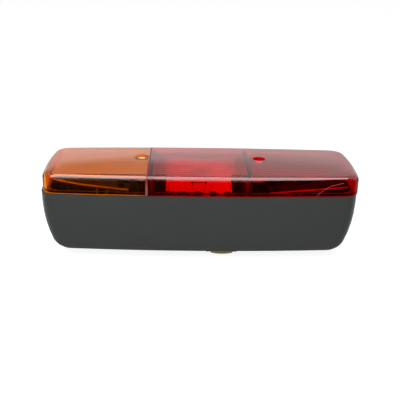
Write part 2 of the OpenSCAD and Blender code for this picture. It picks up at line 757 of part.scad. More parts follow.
module bulb_glass(i) {
    neck_r = cap_d / 2 - bulb_wall - 0.1;
    z0 = bulb_z + 6;
    outer = glass_line(bulb_d / 2, neck_r, z0, bulb_top_z, 0);
    inner = glass_line(bulb_d / 2, neck_r, z0, bulb_top_z, bulb_wall);
    color([0.9, 0.93, 0.95, 0.4]) translate([bulb_xs[i], bulb_y, 0]) difference() {
        rotate_extrude() polygon(concat([[0, z0]], outer, [[0, bulb_top_z]]));
        rotate_extrude() polygon(concat([[0, z0 + bulb_wall]], inner, [[0, bulb_top_z - bulb_wall]]));
    }
}

module filament(i) {
    z0 = bulb_z + 6 + bulb_wall;
    coil_z = bulb_top_z - bulb_d / 2 - coil_drop;
    stem_d = cap_d * 0.46;
    stem_h = cap_h / 2;
    wire_foot_x = stem_d * 0.2;
    wire_z = z0 + stem_h - 1;
    wire_head_x = coil_l / 2 - coil_d / 2;
    lean = atan((wire_head_x - wire_foot_x) / (coil_z - wire_z));
    color([0.7, 0.7, 0.72]) translate([bulb_xs[i], bulb_y, 0]) {
        translate([0, 0, z0]) cylinder(d1 = stem_d, d2 = stem_d * 0.6, h = stem_h);
        for (s = [-1, 1]) translate([s * wire_foot_x, 0, wire_z]) rotate([0, s * lean, 0])
            cylinder(d = coil_d * 0.45, h = (coil_z - wire_z) / cos(lean));
        translate([-coil_l / 2, 0, coil_z]) rotate([0, 90, 0]) cylinder(d = coil_d, h = coil_l);
    }
}

// Terminal block

pole_xs = [for (i = [0 : pole_count - 1]) block_x + (i - (pole_count - 1) / 2) * pole_pitch];

module terminal_block() {
    color([0.07, 0.07, 0.07]) difference() {
        union() {
            translate([block_x - block_l / 2, block_y0, block_foot_z]) cube([block_l, block_w, block_z - block_foot_z]);
            for (i = [0 : pole_count]) translate([block_x + (i - pole_count / 2) * pole_pitch - barrier_t / 2, block_y0, block_z - eps])
                cube([barrier_t, block_w, barrier_h + eps]);
        }
        for (x = pole_xs) translate([x - clamp_w / 2 - clamp_play, block_y0 + block_wall, clamp_z])
            cube([clamp_w + 2 * clamp_play, block_w - 2 * block_wall, block_z - clamp_z + 1]);
        for (x = pole_xs) translate([x, block_y0 - 1, wire_z]) rotate([-90, 0, 0])
            cylinder(d = wire_hole_d + 2 * clamp_play, h = block_w + 2);
        for (i = [2 : pole_count - 1]) translate([pole_xs[i] - clamp_w / 2, block_y0 - 1, block_z - notch_h])
            cube([clamp_w, block_w + 2, notch_h + 1]);
    }
}

module terminal_clamps() {
    color([0.86, 0.7, 0.38]) for (x = pole_xs) difference() {
        translate([x - clamp_w / 2, block_y0 + block_wall + clamp_play, clamp_z])
            cube([clamp_w, block_w - 2 * (block_wall + clamp_play), clamp_h]);
        translate([x, block_y0, wire_z]) rotate([-90, 0, 0]) cylinder(d = wire_hole_d, h = block_w);
        for (y = clamp_screw_ys) translate([x, y, clamp_z - 1]) cylinder(d = clamp_screw_d, h = clamp_h + 2);
    }
}

clamp_screw_ys = [block_y0 + block_w * 0.3, block_y0 + block_w * 0.7];

module terminal_screws() {
    color([0.78, 0.78, 0.8]) for (x = pole_xs) for (y = clamp_screw_ys)
        translate([x, y, clamp_z + clamp_h + eps])
            pan_screw(clamp_screw_d, clamp_h * 0.7, clamp_screw_d * 1.9, clamp_screw_d * 0.6);
}

// Cable gland in the floor

module gland_body() {
    flange_d = gland_stem_d + 4;
    bottom = -gland_washer_t - gland_nut_h;
    color([0.12, 0.12, 0.12]) translate([gland_x, gland_y, 0]) difference() {
        union() {
            translate([0, 0, bottom + 1]) cylinder(d = gland_stem_d, h = floor_t - bottom - 1 + eps);
            translate([0, 0, floor_t]) cylinder(d = flange_d, h = 2);
        }
        translate([0, 0, bottom - 1]) cylinder(d = cable_d + 6, h = floor_t - bottom);
        translate([0, 0, 0]) cylinder(d = cable_d, h = floor_t + 4);
    }
}

module gland_washer() {
    color([0.06, 0.06, 0.06]) translate([gland_x, gland_y, -gland_washer_t]) difference() {
        cylinder(d = gland_nut_d - 3, h = gland_washer_t);
        translate([0, 0, -1]) cylinder(d = gland_stem_d, h = gland_washer_t + 2);
    }
}

// A large round nut with a chamfered rim and driving notches
module gland_nut() {
    r = gland_nut_d / 2;
    color([0.72, 0.58, 0.28]) translate([gland_x, gland_y, -gland_washer_t - gland_nut_h]) difference() {
        rotate_extrude() polygon([
            [gland_stem_d / 2, 0], [r - 1.2, 0], [r, 1.2], [r, gland_nut_h - 0.8], [r - 0.8, gland_nut_h],
            [gland_stem_d / 2, gland_nut_h]
        ]);
        for (a = [0 : 60 : 300]) rotate([0, 0, a]) translate([r - 2.5, -1.5, -1]) cube([4, 3, 3]);
    }
}

// Rubber sleeve that grips the cable inside the stem
module gland_seal() {
    bottom = -gland_washer_t - gland_nut_h;
    color([0.05, 0.05, 0.05]) translate([gland_x, gland_y, bottom + 1.4]) difference() {
        cylinder(d = cable_d + 6, h = floor_t - 2.4 - bottom);
        translate([0, 0, -1]) cylinder(d = cable_d, h = floor_t - bottom + 2);
    }
}

// Leads between the terminal block and the holders

// Clear gap between a lead's end and the holder it is soldered to
solder_gap = 0.6;

lead_z = wire_z;
lead_y = block_y0 + block_w + seat_gap;
// Where the leads go through the light walls: [y, z]
front_pass = [-19, 12];
rear_pass = [21, 10];
holder_r = holder_in_d / 2 + holder_t;
// A point just off a bulb holder's wall, in a direction seen from above
function at_holder(i, angle, z) =
    [bulb_xs[i] + (holder_r + solder_gap) * cos(angle), bulb_y + (holder_r + solder_gap) * sin(angle), z];
turn_route = [
    [pole_xs[0], lead_y, lead_z], [pole_xs[0], lead_y + 2, lead_z - 3], [-19, -10, 20], [-28, -17, 13],
    [-wall_x, front_pass[0], front_pass[1]], [-54, -22, 9], [-66, -20, 8], [-72, -8, 8], at_holder(0, -50, 8.5)
];
stop_route = [
    [pole_xs[1], lead_y, lead_z], [pole_xs[1], lead_y + 2, lead_z - 3], [-8, -10.4, 19.5], [-7.5, -4, 12],
    at_holder(1, -130, 9)
];
tail_route = [
    [pole_xs[3], lead_y, lead_z], [pole_xs[3], lead_y + 2, lead_z - 3], [18, -10, 22], [28, -17, 14],
    [wall_x, front_pass[0], front_pass[1]], [52, -22, 9], [66, -20, 8], [72, -8, 8], at_holder(2, -130, 8.5)
];
earth_route = [
    [pole_xs[2], lead_y, lead_z], [pole_xs[2], lead_y + 2, lead_z - 3], [7, -10.4, 19.5], [7.5, -4, 13],
    at_holder(1, -50, 10)
];
earth_left_route = [
    at_holder(1, 120, 9), [-9, 21, 9], [-20, 23, 9], [-wall_x, rear_pass[0], rear_pass[1]], [-52, 21, 9],
    [-64, 20, 8], at_holder(0, 45, 9)
];
earth_right_route = [
    at_holder(1, 60, 9), [9, 21, 9], [20, 23, 9], [wall_x, rear_pass[0], rear_pass[1]], [52, 21, 9],
    [64, 20, 8], at_holder(2, 135, 9)
];

module lead(points, colour) {
    color(colour) tube(route(points), lead_d);
}

housing();
lens_gasket();
lens_amber();
lens_red();
lens_screws();
screw_seals();
mounting_bushes();
reflector_stop();
carrier_turn();
carrier_tail();
carrier_screws();
bulb_holder(0);  // holder_turn
bulb_holder(1);  // holder_stop
bulb_holder(2);  // holder_tail
holder_insulator(0);  // insulator_turn
holder_insulator(1);  // insulator_stop
holder_insulator(2);  // insulator_tail
holder_contact(0);  // contact_turn
holder_contact(1);  // contact_stop
holder_contact(2);  // contact_tail
bulb_cap(0);  // bulb_cap_turn
bulb_cap(1);  // bulb_cap_stop
bulb_cap(2);  // bulb_cap_tail
bulb_glass(0);  // bulb_glass_turn
bulb_glass(1);  // bulb_glass_stop
bulb_glass(2);  // bulb_glass_tail
filament(0);  // filament_turn
filament(1);  // filament_stop
filament(2);  // filament_tail
terminal_block();
terminal_clamps();
terminal_screws();
gland_body();
gland_nut();
gland_washer();
gland_seal();
lead(turn_route, [0.15, 0.35, 0.75]);  // lead_turn
lead(stop_route, [0.75, 0.1, 0.1]);  // lead_stop
lead(tail_route, [0.45, 0.25, 0.12]);  // lead_tail
union() {  // lead_earth
    lead(earth_route, [0.85, 0.75, 0.1]);
    lead(earth_left_route, [0.85, 0.75, 0.1]);
    lead(earth_right_route, [0.85, 0.75, 0.1]);
}
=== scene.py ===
# Rear lamp cluster: finishes, small trim, floor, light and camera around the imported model

import json
import math

import bmesh
import bpy
from mathutils import Matrix, Vector


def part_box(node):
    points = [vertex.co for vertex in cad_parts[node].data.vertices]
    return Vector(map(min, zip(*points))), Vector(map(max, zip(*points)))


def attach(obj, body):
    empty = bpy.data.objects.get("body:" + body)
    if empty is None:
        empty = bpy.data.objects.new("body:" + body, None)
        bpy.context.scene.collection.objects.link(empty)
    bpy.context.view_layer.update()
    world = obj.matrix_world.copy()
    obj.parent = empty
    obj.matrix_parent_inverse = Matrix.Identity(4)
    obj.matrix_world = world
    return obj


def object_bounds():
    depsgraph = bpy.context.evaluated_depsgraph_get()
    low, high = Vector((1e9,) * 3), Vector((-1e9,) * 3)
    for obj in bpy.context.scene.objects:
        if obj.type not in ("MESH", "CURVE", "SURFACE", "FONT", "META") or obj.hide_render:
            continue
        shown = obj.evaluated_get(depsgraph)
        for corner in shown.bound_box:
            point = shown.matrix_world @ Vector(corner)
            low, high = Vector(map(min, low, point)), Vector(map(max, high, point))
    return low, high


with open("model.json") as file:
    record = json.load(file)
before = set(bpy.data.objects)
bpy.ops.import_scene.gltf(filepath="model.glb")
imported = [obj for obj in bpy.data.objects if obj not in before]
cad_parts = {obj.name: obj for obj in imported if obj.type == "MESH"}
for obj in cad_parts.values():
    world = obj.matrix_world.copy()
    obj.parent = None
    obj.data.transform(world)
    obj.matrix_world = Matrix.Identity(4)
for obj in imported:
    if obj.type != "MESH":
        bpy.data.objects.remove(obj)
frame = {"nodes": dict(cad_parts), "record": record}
cad_low, cad_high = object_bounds()
nodes = frame["nodes"]
amber_low, amber_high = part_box("lens_amber")
red_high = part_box("lens_red")[1]
housing_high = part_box("housing")[1]
screws_low, screws_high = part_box("lens_screws")
MM = 0.001

# Camera

IMAGE_PX = 400
SENSOR_WIDTH = 36.0


def place_camera():
    """The photograph's view: the lamp lies on its back, seen from one long side."""
    focal_px = 685.952
    distance = 547.234 * MM
    elevation = math.radians(21.197)
    yaw = math.radians(1.111)
    roll = math.radians(0.947)
    offset_right = -0.822 * MM
    offset_up = 1.518 * MM
    aim = Vector((0, 0, 30.97 * MM))
    turn = Matrix.Rotation(-yaw, 3, "Z")
    right = turn @ Vector((1, 0, 0))
    up = turn @ Vector((0, math.sin(elevation), math.cos(elevation)))
    ahead = turn @ Vector((0, math.cos(elevation), -math.sin(elevation)))
    place = aim - offset_right * right - offset_up * up - distance * ahead
    right_rolled = right * math.cos(roll) + up * math.sin(roll)
    up_rolled = up * math.cos(roll) - right * math.sin(roll)
    data = bpy.data.cameras.new("photo_camera")
    data.sensor_width = SENSOR_WIDTH
    data.lens = focal_px / IMAGE_PX * SENSOR_WIDTH
    data.clip_start = 0.01
    data.clip_end = 50.0
    camera = bpy.data.objects.new("photo_camera", data)
    bpy.context.scene.collection.objects.link(camera)
    axes = Matrix((right_rolled, up_rolled, -ahead)).transposed()
    camera.matrix_world = Matrix.Translation(place) @ axes.to_4x4()
    bpy.context.scene.camera = camera


place_camera()

# Shader helpers


def feed(tree, socket, value):
    """Links a socket to another one, or gives it a plain value."""
    if isinstance(value, bpy.types.NodeSocket):
        tree.links.new(value, socket)
    else:
        socket.default_value = value


def maths(tree, operation, *values, clamp=False):
    """The result of a Math node for numbers or sockets."""
    node = tree.nodes.new("ShaderNodeMath")
    node.operation = operation
    node.use_clamp = clamp
    for socket, value in zip(node.inputs, values):
        feed(tree, socket, value)
    return node.outputs[0]


def vector_maths(tree, operation, *vectors):
    """The result of a Vector Math node for vectors or sockets."""
    node = tree.nodes.new("ShaderNodeVectorMath")
    node.operation = operation
    for socket, value in zip(node.inputs, vectors):
        feed(tree, socket, value)
    return node.outputs[0]


def scaled(tree, vector, factor):
    """A vector or colour socket times a number socket."""
    node = tree.nodes.new("ShaderNodeVectorMath")
    node.operation = "SCALE"
    feed(tree, node.inputs[0], vector)
    feed(tree, node.inputs["Scale"], factor)
    return node.outputs[0]


def coordinate(tree, vector, axis):
    """The X, Y or Z of a vector socket."""
    node = tree.nodes.new("ShaderNodeSeparateXYZ")
    feed(tree, node.inputs[0], vector)
    return node.outputs[axis]


def ramp(tree, value, low, high, to_low=0.0, to_high=1.0, kind="SMOOTHSTEP"):
    """Takes a value from low..high to to_low..to_high, and holds it there."""
    node = tree.nodes.new("ShaderNodeMapRange")
    node.interpolation_type = kind
    labels = ("Value", "From Min", "From Max", "To Min", "To Max")
    for label, given in zip(labels, (value, low, high, to_low, to_high)):
        feed(tree, node.inputs[label], given)
    return node.outputs[0]


def noise(tree, place, scale, detail):
    """Noise from 0 to 1 at a place."""
    node = tree.nodes.new("ShaderNodeTexNoise")
    feed(tree, node.inputs["Vector"], place)
    feed(tree, node.inputs["Scale"], scale)
    feed(tree, node.inputs["Detail"], detail)
    return node.outputs["Fac"]


def two_colours(tree, factor, one, other):
    """One colour where the factor is 0 and the other where it is 1."""
    node = tree.nodes.new("ShaderNodeMix")
    node.data_type = "RGBA"
    feed(tree, node.inputs["Factor"], factor)
    feed(tree, node.inputs["A"], (*one, 1))
    feed(tree, node.inputs["B"], (*other, 1))
    return node.outputs["Result"]


class Shade:
    """A material with its Principled BSDF, and short ways to read and set nodes in it."""

    def __init__(self, name):
        self.material = bpy.data.materials.new(name)
        self.material.use_nodes = True
        self.tree = self.material.node_tree
        self.surface = self.tree.nodes["Principled BSDF"]

    def set(self, **values):
        """Sets or links the shader's own sockets, with _ for a space in their names."""
        for name, value in values.items():
            feed(self.tree, self.surface.inputs[name.replace("_", " ")], value)

    def read(self, kind, output):
        """One output of a new node that has nothing to set."""
        return self.tree.nodes.new(kind).outputs[output]

    def place(self):
        """Where on the object a point lies."""
        return self.read("ShaderNodeTexCoord", "Object")

    def group(self, tree, **values):
        """The outputs of a shared effect, with _ for a space in the names of its inputs."""
        node = self.tree.nodes.new("ShaderNodeGroup")
        node.node_tree = tree
        for name, value in values.items():
            feed(self.tree, node.inputs[name.replace("_", " ")], value)
        return node.outputs


def new_group(name, inputs, outputs):
    """An empty shared effect, with the sockets it takes from and gives to."""
    tree = bpy.data.node_groups.new(name, "ShaderNodeTree")
    for label, kind, value in inputs:
        socket = tree.interface.new_socket(label, in_out="INPUT", socket_type=kind)
        if value is not None:
            socket.default_value = value
    for label, kind in outputs:
        tree.interface.new_socket(label, in_out="OUTPUT", socket_type=kind)
    return tree, tree.nodes.new("NodeGroupInput").outputs, tree.nodes.new("NodeGroupOutput").inputs


# Scales of the noise for the grain and for its broad unevenness
GRAIN_SIZE = 1500.0
CLOUD_SIZE = 28.0
# How far up a lens's face must look to be plain or polished
PLAIN_TO = 0.44
POLISHED_FROM = 0.6


def moulded_finish():
    """Fine moulded grain: an uneven colour, an uneven roughness and a small height."""
    tree, take, give = new_group(
        "moulded_finish",
        [
            ("Place", "NodeSocketVector", None),
            ("Colour", "NodeSocketColor", (0.5, 0.5, 0.5, 1)),
            ("Roughness", "NodeSocketFloat", 0.5),
            ("Grain size", "NodeSocketFloat", GRAIN_SIZE),
            ("Cloudiness", "NodeSocketFloat", 0.1),
        ],
        [("Colour", "NodeSocketColor"), ("Roughness", "NodeSocketFloat"), ("Height", "NodeSocketFloat")],
    )
    grain = noise(tree, take["Place"], take["Grain size"], detail=3.0)
    cloud = noise(tree, take["Place"], CLOUD_SIZE, detail=4.0)
    spread = maths(tree, "MULTIPLY", maths(tree, "SUBTRACT", cloud, 0.5), take["Cloudiness"])
    level = maths(tree, "ADD", spread, 1.0)
    feed(tree, give["Colour"], scaled(tree, take["Colour"], level))
    feed(tree, give["Roughness"], maths(tree, "MULTIPLY", take["Roughness"], level))
    feed(tree, give["Height"], grain)
    return tree


def lens_faces():
    """How polished a lens is: its top is, its side walls aren't, and its round edge is between."""
    tree, take, give = new_group(
        "lens_faces",
        [
            ("Normal", "NodeSocketVector", None),
            ("Plain to", "NodeSocketFloat", PLAIN_TO),
            ("Polished from", "NodeSocketFloat", POLISHED_FROM),
        ],
        [("Polish", "NodeSocketFloat")],
    )
    upward = coordinate(tree, take["Normal"], "Z")
    feed(tree, give["Polish"], ramp(tree, upward, take["Plain to"], take["Polished from"]))
    return tree


MOULDED = moulded_finish()
LENS_FACES = lens_faces()

# Finishes

GRAIN_HEIGHT = 0.05 * MM
LENS_IOR = 1.2
FLUTE_RELIEF = 0.2
COIL_FOOT = 40.5 * MM
# The weld flash's grain and unevenness, and the heights where its pale flash ends and its painted red glow
# starts
WELD_GRAIN = 700.0
WELD_UNEVENNESS = 4 * MM
WELD_PALE_TO = 55.5 * MM
WELD_GLOW_FROM = 57.5 * MM


def finished(name, colour, roughness, cloudiness=0.12, bump=0.1, **sockets):
    """An opaque finish with moulded grain, from its colour and roughness."""
    shade = Shade(name)
    finish = shade.group(
        MOULDED,
        Place=shade.place(),
        Colour=(*colour, 1),
        Roughness=roughness,
        Grain_size=GRAIN_SIZE,
        Cloudiness=cloudiness,
    )
    bumps = shade.tree.nodes.new("ShaderNodeBump")
    bumps.inputs["Strength"].default_value = bump
    bumps.inputs["Distance"].default_value = GRAIN_HEIGHT
    feed(shade.tree, bumps.inputs["Height"], finish["Height"])
    shade.set(Base_Color=finish["Colour"], Roughness=finish["Roughness"], Normal=bumps.outputs["Normal"])
    shade.set(**sockets)
    return shade.material


def lens_plastic(name, colour, roughness):
    """Clear tinted lens plastic with a bright coat where it is polished."""
    shade = Shade(name)
    shade.set(Base_Color=(*colour, 1), IOR=LENS_IOR, Roughness=roughness, Transmission_Weight=1.0)
    shade.set(Coat_IOR=2.0, Coat_Roughness=0.05)
    # A normal seen from inside points inwards, so it is turned round there
    backfacing = shade.read("ShaderNodeNewGeometry", "Backfacing")
    outward = maths(shade.tree, "MULTIPLY_ADD", backfacing, -2.0, 1.0)
    normal = shade.read("ShaderNodeTexCoord", "Normal")
    faces = shade.group(LENS_FACES, Normal=scaled(shade.tree, normal, outward))
    shade.set(Coat_Weight=faces["Polish"])
    return shade.material


def fluted_plastic(name, colour, clearness):
    """The fluted inner side of a lens, which scatters the light; its flutes run along X."""
    shade = Shade(name)
    shade.set(Base_Color=(*colour, 1), IOR=LENS_IOR, Roughness=0.9, Transmission_Weight=clearness)
    normal = shade.read("ShaderNodeNewGeometry", "Normal")
    flatter = vector_maths(shade.tree, "MULTIPLY", normal, (1, FLUTE_RELIEF, 1))
    shade.set(Normal=vector_maths(shade.tree, "NORMALIZE", flatter))
    return shade.material


def clear_glass(name, colour):
    """Thin clear glass."""
    shade = Shade(name)
    shade.set(Base_Color=(*colour, 1), Roughness=0.0, IOR=1.015, Transmission_Weight=1.0, Alpha=0.3)
    return shade.material


def wire_with_painted_coil_shade(name, leads, coil):
    """Filament wire: leads painted pale as the lit reflector behind them, and near black where the coil is, a
    painted shade for the coil's dark silhouette.
    """
    shade = Shade(name)
    in_coil = maths(shade.tree, "GREATER_THAN", coordinate(shade.tree, shade.place(), "Z"), COIL_FOOT)
    shade.set(Base_Color=two_colours(shade.tree, in_coil, leads, coil))
    return shade.material


def weld_flash_and_glow(name, below, above):
    """Rough flash of the welded joint: pale and scuffed below, and deep red above, a painted glow of the lit
    rib behind it.
    """
    shade = Shade(name)
    place = shade.place()
    rough = noise(shade.tree, place, WELD_GRAIN, detail=2.0)
    height = maths(shade.tree, "MULTIPLY_ADD", rough, WELD_UNEVENNESS, coordinate(shade.tree, place, "Z"))
    upper = ramp(shade.tree, height, WELD_PALE_TO, WELD_GLOW_FROM, kind="LINEAR")
    shade.set(Base_Color=two_colours(shade.tree, upper, below, above), Roughness=0.5)
    return shade.material


FINISHES = {
    "housing_plastic": finished("housing_plastic", (0.039, 0.043, 0.0405), 0.36, bump=0.25),
    "amber_plastic": lens_plastic("amber_plastic", (0.95, 0.32, 0.02), 0.05),
    "red_plastic": lens_plastic("red_plastic", (1.0, 0.004, 0.002), 0.05),
    "rubber": finished("rubber", (0.02, 0.02, 0.02), 0.7),
    "plated_steel": finished("plated_steel", (0.24, 0.235, 0.22), 0.6, Metallic=1.0),
    "yellow_steel": finished("yellow_steel", (0.5, 0.36, 0.16), 0.4, Metallic=1.0),
    "bright_sheet": finished("bright_sheet", (0.93, 0.93, 0.93), 0.5, cloudiness=0.04),
    "dark_sheet": finished("dark_sheet", (0.01, 0.01, 0.01), 0.6, Specular_IOR_Level=0.2),
    "brass": finished("brass", (0.78, 0.58, 0.26), 0.3, Metallic=1.0),
    "insulating_board": finished("insulating_board", (0.2, 0.1, 0.05), 0.7),
    "bulb_glass": clear_glass("bulb_glass", (0.99, 0.99, 0.99)),
    # Filament wire with pale painted leads and a coil painted dark as shade
    "bulb_wire": wire_with_painted_coil_shade("bulb_wire", (0.8, 0.8, 0.8), (0.03, 0.03, 0.03)),
    "black_plastic": finished("black_plastic", (0.01, 0.01, 0.01), 0.6, Specular_IOR_Level=0.2),
    "lead_blue": finished("lead_blue", (0.03, 0.12, 0.5), 0.4),
    "lead_red": finished("lead_red", (0.5, 0.02, 0.02), 0.4),
    "lead_brown": finished("lead_brown", (0.18, 0.07, 0.03), 0.4),
    "lead_yellow": finished("lead_yellow", (0.7, 0.5, 0.02), 0.4),
}
SPECIAL_FINISHES = {
    # The lens screws: yellow zinc plating, made pale to paint the glint on their heads
    "lens_screws": finished("zinc_plate_glint", (0.95, 0.87, 0.6), 0.35),
    # Carrier screws in the dark sheet's near black: painted shade, so they sink into the shaded chamber
    "carrier_screws": FINISHES["dark_sheet"],
    # The turn carrier: a lighter copy of the dark sheet, painted light where the amber chamber is brighter
    "carrier_turn": finished("dark_sheet_lightened", (0.05, 0.05, 0.05), 0.55, Specular_IOR_Level=0.35),
}
AMBER_FLUTES = fluted_plastic("amber_flutes", (0.95, 0.6, 0.02), 0.32)
RED_FLUTES = fluted_plastic("red_flutes", (1.0, 0.035, 0.028), 0.79)
# Painted highlights: pale rods standing in for the light caught on the carriers' front bends, brighter on the
# turn carrier
BEND_HIGHLIGHT = finished("bend_highlight", (0.97, 0.96, 0.94), 0.3, cloudiness=0.1)
DIM_BEND_HIGHLIGHT = finished("dim_bend_highlight", (0.9, 0.87, 0.85), 0.3, cloudiness=0.2)
# The joint's flash, painted deep red above as the glow of the lit rib
WELD = weld_flash_and_glow("weld_flash_and_glow", (0.22, 0.055, 0.045), (0.3, 0.01, 0.006))
# A real crack, painted bright red as the light it catches
CRACK_GLINT = finished("lit_crack_edge", (0.62, 0.07, 0.06), 0.5)

# Nodes that keep their CAD shape

MERGE_GAP = 0.002 * MM
SHARP_ANGLE = math.radians(32)


def soften(piece):
    """Round surfaces of a CAD node shade smooth, its sharp edges stay sharp."""
    for face in piece.data.polygons:
        face.use_smooth = True
    if piece.data.has_custom_normals:
        piece.data.attributes.remove(piece.data.attributes["custom_normal"])
    merge = piece.modifiers.new("weld", "WELD")
    merge.merge_threshold = MERGE_GAP
    split = piece.modifiers.new("sharp_edges", "EDGE_SPLIT")
    split.split_angle = SHARP_ANGLE


for entry in frame["record"]["subparts"]:
    node_name = entry["node"]
    node_finish = SPECIAL_FINISHES.get(node_name, FINISHES[entry["material_slot"]])
    soften(nodes[node_name])
    nodes[node_name].data.materials.clear()
    nodes[node_name].data.materials.append(node_finish)

# The light walls' strips, the fluted field, the lens's foot and the screw pillars
WALL_FROM = 35.4 * MM
WALL_TO = 38.9 * MM
FLUTE_FOOT = red_high.z - 3.4 * MM
FIELD_X = 110.5 * MM
FIELD_Y = 29.5 * MM
LENS_FOOT = 50 * MM
SCREW_R = 4 * MM
PILLAR_R = 6.1 * MM
PILLAR_SPREAD = 0.4 * MM
LEFT_SCREW = Vector((screws_low.x + SCREW_R, screws_high.y - SCREW_R))
RIGHT_SCREW = Vector((screws_high.x - SCREW_R, screws_low.y + SCREW_R))
# A face's normal points down further than this in the ceiling or the foot
CEILING_SLOPE = -0.1
FOOT_SLOPE = -0.5


def flute(lens, material):
    """A lens's fluted field, its pillar and its foot scatter the light.

    The margins of the field and the strips over the light walls stay clear.
    """
    mesh = nodes[lens].data
    mesh.materials.append(material)
    for face in mesh.polygons:
        ceiling = face.normal.z < CEILING_SLOPE and face.center.z > FLUTE_FOOT
        fluted = ceiling and abs(face.center.x) < FIELD_X and abs(face.center.y) < FIELD_Y
        from_axes = [(face.center.xy - axis).length for axis in (LEFT_SCREW, RIGHT_SCREW)]
        pillar = any(abs(distance - PILLAR_R) < PILLAR_SPREAD for distance in from_axes)
        places = [mesh.vertices[index].co.x for index in face.vertices]
        over_right_wall = min(places) > WALL_FROM and max(places) < WALL_TO
        over_left_wall = max(places) < -WALL_FROM and min(places) > -WALL_TO
        over_wall = over_right_wall or over_left_wall
        foot = face.normal.z < FOOT_SLOPE and face.center.z < LENS_FOOT
        if pillar or foot or (fluted and not over_wall):
            face.material_index = 1


flute("lens_amber", AMBER_FLUTES)
flute("lens_red", RED_FLUTES)

# Small trim of the lamp, and painted highlights along the carriers' bends


def add_piece(name, bm, material, smooth=False):
    """A new piece from a bmesh whose places are in the mesh; it stands still with the lamp."""
    bmesh.ops.recalc_face_normals(bm, faces=bm.faces)
    mesh = bpy.data.meshes.new(name)
    bm.to_mesh(mesh)
    bm.free()
    for face in mesh.polygons:
        face.use_smooth = smooth
    piece = bpy.data.objects.new(name, mesh)
    bpy.context.scene.collection.objects.link(piece)
    mesh.materials.append(material)
    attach(piece, "root")


def new_verts(made):
    """The vertices among what an operator made."""
    return [item for item in made if isinstance(item, bmesh.types.BMVert)]


def new_edges(made):
    """The edges among what an operator made."""
    return [item for item in made if isinstance(item, bmesh.types.BMEdge)]


def thicken(bm, step):
    """Gives a flat strip its thickness by pulling a copy of its faces along a step."""
    grown = bmesh.ops.extrude_face_region(bm, geom=list(bm.faces))["geom"]
    bmesh.ops.translate(bm, verts=new_verts(grown), vec=step)


BEND_INSET = 0.5 * MM
BEND_R = 0.6 * MM
BEND_SIDES = 12
TURN_BEND = [(-111.8, 53.56), (-92, 49.6), (-54.2, 45.13)]
TAIL_BEND = [(54.2, 43.42), (113.8, 48.98)]


def highlight_rod(name, carrier, line, material):
    """A painted highlight along the bend at the front of a carrier: a pale round rod through (x, z) places in
    mm.
    """
    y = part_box(carrier)[0].y + BEND_INSET
    points = [Vector((x * MM, y, z * MM - BEND_INSET)) for x, z in line]
    bm = bmesh.new()
    facing = Matrix.Translation(points[0]) @ Matrix.Rotation(math.radians(90), 4, "Y")
    ring = bmesh.ops.create_circle(bm, segments=BEND_SIDES, radius=BEND_R, matrix=facing)
    bmesh.ops.contextual_create(bm, geom=ring["verts"])
    edges = list(bm.edges)
    for before, after in zip(points, points[1:]):
        made = bmesh.ops.extrude_edge_only(bm, edges=edges)["geom"]
        moved = new_verts(made)
        edges = [edge for edge in new_edges(made) if set(edge.verts) <= set(moved)]
        bmesh.ops.translate(bm, verts=moved, vec=after - before)
    bmesh.ops.contextual_create(bm, geom=edges)
    add_piece(name, bm, material, smooth=True)


# Painted highlights along the bends of the turn and tail carriers
highlight_rod("highlight_rod_turn", "carrier_turn", TURN_BEND, BEND_HIGHLIGHT)
highlight_rod("highlight_rod_tail", "carrier_tail", TAIL_BEND, DIM_BEND_HIGHLIGHT)

LENS_MIDDLE = (amber_low.x + red_high.x) / 2
LENS_BOW = 4 * MM
TOP_EDGE_R = 4.2 * MM
TOP_EDGE_STEPS = 6


def lens_wall_y(x):
    """Half the outer width of the lens at a place along it."""
    return red_high.y - LENS_BOW * ((x - LENS_MIDDLE) / housing_high.x) ** 2


def wall_path(x, low, high, side):
    """Up a side wall of the lens, as (y, z) places with outward directions."""
    y = side * lens_wall_y(x)
    return [((y, low), (side, 0)), ((y, high), (side, 0))]


def over_path(x):
    """From one side wall over the top to the other, round the edges of the lens."""
    edge_y = lens_wall_y(x) - TOP_EDGE_R
    edge_z = red_high.z - TOP_EDGE_R
    path = []
    for k in range(TOP_EDGE_STEPS + 1):
        angle = math.radians(90 * k / TOP_EDGE_STEPS)
        out = (-math.cos(angle), math.sin(angle))
        path.append(((-edge_y + TOP_EDGE_R * out[0], edge_z + TOP_EDGE_R * out[1]), out))
    other = [((-place[0], place[1]), (-out[0], out[1])) for place, out in reversed(path)]
    return path + other


JOINT_X = amber_high.x
BEAD_X = (JOINT_X - 0.9 * MM, JOINT_X + 0.8 * MM)
BEAD_Z = (47.7 * MM, 57.6 * MM)
BEAD_PROUD = 0.12 * MM
LINE_X = (JOINT_X - 0.3 * MM, JOINT_X + 0.4 * MM)
LINE_PROUD = 0.04 * MM
SUNK = 0.2 * MM


def strip_along(name, path, span, proud, material):
    """A flat strip over a path of (y, z) places with outward directions, as wide as a span of x."""
    bm = bmesh.new()

    def outer_and_under(place, out):
        """The strip's two corners at a place: one proud of the lens, one sunk in it."""
        outer = Vector((span[0], place[0] + out[0] * proud, place[1] + out[1] * proud))
        under = Vector((span[0], place[0] - out[0] * SUNK, place[1] - out[1] * SUNK))
        return outer, under

    last, sunk = [bm.verts.new(corner) for corner in outer_and_under(*path[0])]
    edge = bm.edges.new((last, sunk))
    for place, out in path[1:]:
        edge = new_edges(bmesh.ops.extrude_edge_only(bm, edges=[edge])["geom"])[0]
        nearer, farther = sorted(edge.verts, key=lambda vert: (vert.co - last.co).length)
        nearer.co, farther.co = outer_and_under(place, out)
        last = nearer
    thicken(bm, (span[1] - span[0], 0, 0))
    add_piece(name, bm, material)


